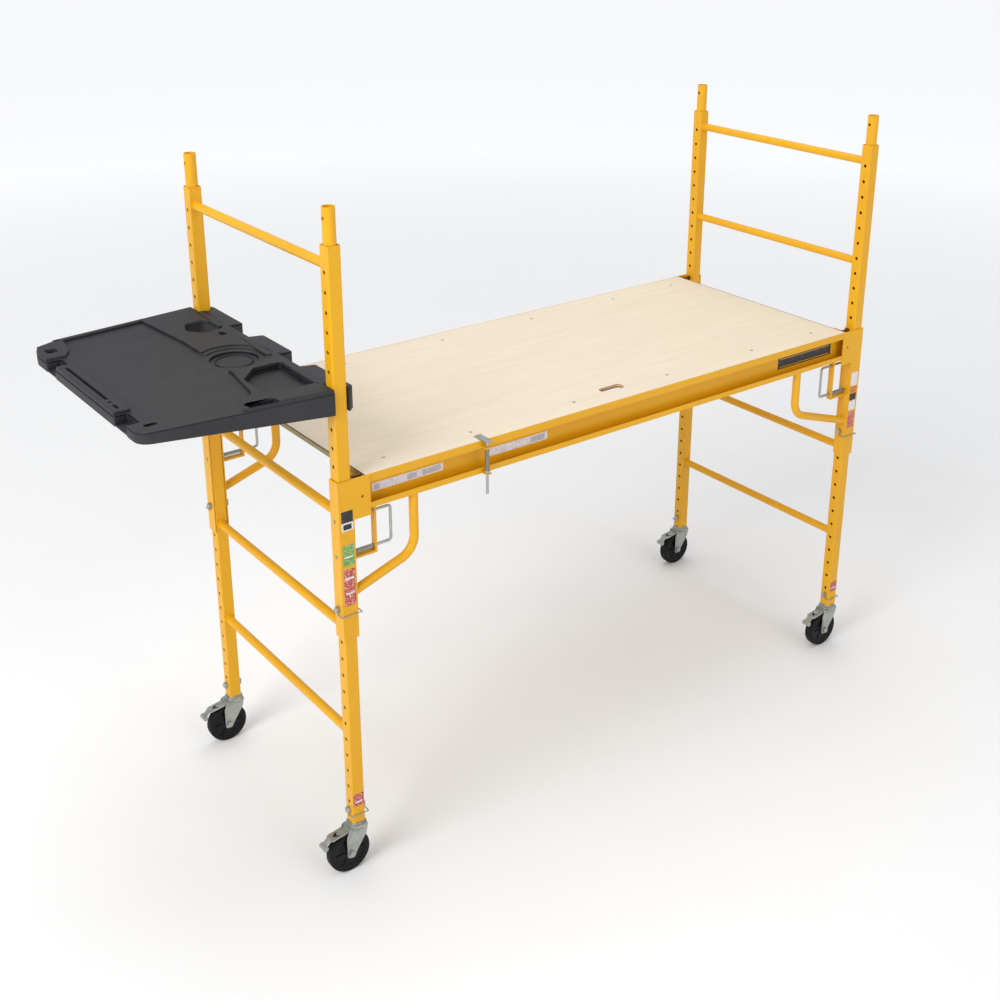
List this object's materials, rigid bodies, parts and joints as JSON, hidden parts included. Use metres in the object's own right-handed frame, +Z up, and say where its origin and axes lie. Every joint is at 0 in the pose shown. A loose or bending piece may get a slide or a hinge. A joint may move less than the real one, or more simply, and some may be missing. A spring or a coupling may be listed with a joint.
{
  "type": "baker scaffold",
  "caption": "Rolling scaffold: two ladder frames on locking swivel casters carry a height-adjustable plywood platform, with a moulded tool tray hooked on one end.",
  "frame": {"origin": "on the floor, midway between the four posts", "axes": "+X along the platform, away from the tool tray; +Z up; +Y across the platform, away from the deck latch"},
  "size_m": [2.5146, 0.8318, 1.905],
  "materials": {
    "yellow_paint": "satin powder coat",
    "zinc": "zinc plated",
    "plywood": "sealed birch plywood",
    "tray_plastic": "moulded, fine grain",
    "wheel_black": "matt",
    "bronze_bolt": "oiled brown"
  },
  "bodies": {
    "frames": {"post_near_left": "yellow_paint", "post_far_left": "yellow_paint", "post_near_right": "yellow_paint", "post_far_right": "yellow_paint", "rungs_left": "yellow_paint", "rungs_right": "yellow_paint", "coupling_pins": "yellow_paint", "caster_stems": "zinc", "caster_snap_pins": "zinc"},
    "platform": {"rail_near": "yellow_paint", "rail_far": "yellow_paint", "sleeve_near_left": "yellow_paint", "sleeve_far_left": "yellow_paint", "sleeve_near_right": "yellow_paint", "sleeve_far_right": "yellow_paint", "braces_left": "yellow_paint", "braces_right": "yellow_paint", "rod_brackets": "yellow_paint", "cross_bearers": "yellow_paint", "end_trims": "yellow_paint", "plywood_panel": "plywood", "panel_screws": "zinc", "corner_bolts": "bronze_bolt", "platform_snap_pins": "zinc", "latch_spring": "zinc", "lock_spring_near_left": "zinc", "lock_spring_far_left": "zinc", "lock_spring_near_right": "zinc", "lock_spring_far_right": "zinc"},
    "latch_collar": {"latch_collar": "zinc"},
    "latch_rod": {"latch_rod": "zinc"},
    "tool_tray": {"tool_tray": "tray_plastic"},
    "lock_rod_near_left": {"lock_rod_near_left": "zinc"},
    "lock_rod_far_left": {"lock_rod_far_left": "zinc"},
    "lock_rod_near_right": {"lock_rod_near_right": "zinc"},
    "lock_rod_far_right": {"lock_rod_far_right": "zinc"},
    "bail_platform_near_left": {"bail_platform_near_left": "zinc"},
    "bail_platform_far_left": {"bail_platform_far_left": "zinc"},
    "bail_platform_near_right": {"bail_platform_near_right": "zinc"},
    "bail_platform_far_right": {"bail_platform_far_right": "zinc"},
    "bail_caster_near_left": {"bail_caster_near_left": "zinc"},
    "bail_caster_far_left": {"bail_caster_far_left": "zinc"},
    "bail_caster_near_right": {"bail_caster_near_right": "zinc"},
    "bail_caster_far_right": {"bail_caster_far_right": "zinc"},
    "caster_near_left": {"fork_near_left": "zinc", "axle_near_left": "zinc"},
    "wheel_near_left": {"wheel_near_left": "wheel_black"},
    "pedal_near_left": {"pedal_near_left": "zinc"},
    "caster_far_left": {"fork_far_left": "zinc", "axle_far_left": "zinc"},
    "wheel_far_left": {"wheel_far_left": "wheel_black"},
    "pedal_far_left": {"pedal_far_left": "zinc"},
    "caster_near_right": {"fork_near_right": "zinc", "axle_near_right": "zinc"},
    "wheel_near_right": {"wheel_near_right": "wheel_black"},
    "pedal_near_right": {"pedal_near_right": "zinc"},
    "caster_far_right": {"fork_far_right": "zinc", "axle_far_right": "zinc"},
    "wheel_far_right": {"wheel_far_right": "wheel_black"},
    "pedal_far_right": {"pedal_far_right": "zinc"}
  },
  "joints": [
    {"name": "platform_height", "type": "slide", "parent": "frames", "child": "platform", "axis": [0, 0, 1], "range_m": [-0.4572, 0.1524]},
    {"name": "lock_pull_near_left", "type": "slide", "parent": "platform", "child": "lock_rod_near_left", "axis": [1, 0, 0], "range_m": [0, 0.045], "stiffness_N_per_m": 300, "springref_m": -0.02, "deforming": ["lock_spring_near_left"]},
    {"name": "lock_pull_far_left", "type": "slide", "parent": "platform", "child": "lock_rod_far_left", "axis": [1, 0, 0], "range_m": [0, 0.045], "stiffness_N_per_m": 300, "springref_m": -0.02, "deforming": ["lock_spring_far_left"]},
    {"name": "lock_pull_near_right", "type": "slide", "parent": "platform", "child": "lock_rod_near_right", "axis": [-1, 0, 0], "range_m": [0, 0.045], "stiffness_N_per_m": 300, "springref_m": -0.02, "deforming": ["lock_spring_near_right"]},
    {"name": "lock_pull_far_right", "type": "slide", "parent": "platform", "child": "lock_rod_far_right", "axis": [-1, 0, 0], "range_m": [0, 0.045], "stiffness_N_per_m": 300, "springref_m": -0.02, "deforming": ["lock_spring_far_right"]},
    {"name": "bail_platform_swing_near_left", "type": "hinge", "parent": "platform", "child": "bail_platform_near_left", "pos_m": [-1.01285, -0.38, 0.8316], "axis": [0, 0, 1], "range_deg": [-110, 0]},
    {"name": "bail_platform_swing_far_left", "type": "hinge", "parent": "platform", "child": "bail_platform_far_left", "pos_m": [-1.01285, 0.38, 0.8316], "axis": [0, 0, 1], "range_deg": [0, 110]},
    {"name": "bail_platform_swing_near_right", "type": "hinge", "parent": "platform", "child": "bail_platform_near_right", "pos_m": [0.95715, -0.38, 0.8316], "axis": [0, 0, 1], "range_deg": [-110, 0]},
    {"name": "bail_platform_swing_far_right", "type": "hinge", "parent": "platform", "child": "bail_platform_far_right", "pos_m": [0.95715, 0.38, 0.8316], "axis": [0, 0, 1], "range_deg": [0, 110]},
    {"name": "bail_caster_swing_near_left", "type": "hinge", "parent": "frames", "child": "bail_caster_near_left", "pos_m": [-1.00905, -0.38, 0.196], "axis": [0, 0, 1], "range_deg": [-110, 0]},
    {"name": "bail_caster_swing_far_left", "type": "hinge", "parent": "frames", "child": "bail_caster_far_left", "pos_m": [-1.00905, 0.38, 0.196], "axis": [0, 0, 1], "range_deg": [0, 110]},
    {"name": "bail_caster_swing_near_right", "type": "hinge", "parent": "frames", "child": "bail_caster_near_right", "pos_m": [0.96095, -0.38, 0.196], "axis": [0, 0, 1], "range_deg": [-110, 0]},
    {"name": "bail_caster_swing_far_right", "type": "hinge", "parent": "frames", "child": "bail_caster_far_right", "pos_m": [0.96095, 0.38, 0.196], "axis": [0, 0, 1], "range_deg": [0, 110]},
    {"name": "latch_lift", "type": "slide", "parent": "platform", "child": "latch_collar", "axis": [0, 0, 1], "range_m": [0, 0.012], "stiffness_N_per_m": 500, "springref_m": -0.02, "deforming": ["latch_spring"]},
    {"name": "latch_turn", "type": "hinge", "parent": "latch_collar", "child": "latch_rod", "pos_m": [-0.549, -0.41185, 1.15], "axis": [0, 0, 1], "range_deg": [0, 90]},
    {"name": "tray_lift", "type": "slide", "parent": "frames", "child": "tool_tray", "axis": [0, 0, 1], "range_m": [0, 0.2]},
    {"name": "swivel_near_left", "type": "hinge", "parent": "frames", "child": "caster_near_left", "pos_m": [-0.985, -0.38, 0.14], "axis": [0, 0, 1], "continuous": true},
    {"name": "wheel_spin_near_left", "type": "hinge", "parent": "caster_near_left", "child": "wheel_near_left", "pos_m": [-1.015, -0.38, 0.0635], "axis": [0, -1, 0], "continuous": true},
    {"name": "pedal_press_near_left", "type": "hinge", "parent": "caster_near_left", "child": "pedal_near_left", "pos_m": [-1.015, -0.38, 0.1321], "axis": [0, -1, 0], "range_deg": [0, 6]},
    {"name": "swivel_far_left", "type": "hinge", "parent": "frames", "child": "caster_far_left", "pos_m": [-0.985, 0.38, 0.14], "axis": [0, 0, 1], "continuous": true},
    {"name": "wheel_spin_far_left", "type": "hinge", "parent": "caster_far_left", "child": "wheel_far_left", "pos_m": [-1.015, 0.38, 0.0635], "axis": [0, -1, 0], "continuous": true},
    {"name": "pedal_press_far_left", "type": "hinge", "parent": "caster_far_left", "child": "pedal_far_left", "pos_m": [-1.015, 0.38, 0.1321], "axis": [0, -1, 0], "range_deg": [0, 6]},
    {"name": "swivel_near_right", "type": "hinge", "parent": "frames", "child": "caster_near_right", "pos_m": [0.985, -0.38, 0.14], "axis": [0, 0, 1], "continuous": true},
    {"name": "wheel_spin_near_right", "type": "hinge", "parent": "caster_near_right", "child": "wheel_near_right", "pos_m": [0.955, -0.38, 0.0635], "axis": [0, -1, 0], "continuous": true},
    {"name": "pedal_press_near_right", "type": "hinge", "parent": "caster_near_right", "child": "pedal_near_right", "pos_m": [0.955, -0.38, 0.1321], "axis": [0, -1, 0], "range_deg": [0, 6]},
    {"name": "swivel_far_right", "type": "hinge", "parent": "frames", "child": "caster_far_right", "pos_m": [0.985, 0.38, 0.14], "axis": [0, 0, 1], "continuous": true},
    {"name": "wheel_spin_far_right", "type": "hinge", "parent": "caster_far_right", "child": "wheel_far_right", "pos_m": [0.955, 0.38, 0.0635], "axis": [0, -1, 0], "continuous": true},
    {"name": "pedal_press_far_right", "type": "hinge", "parent": "caster_far_right", "child": "pedal_far_right", "pos_m": [0.955, 0.38, 0.1321], "axis": [0, -1, 0], "range_deg": [0, 6]}
  ]
}
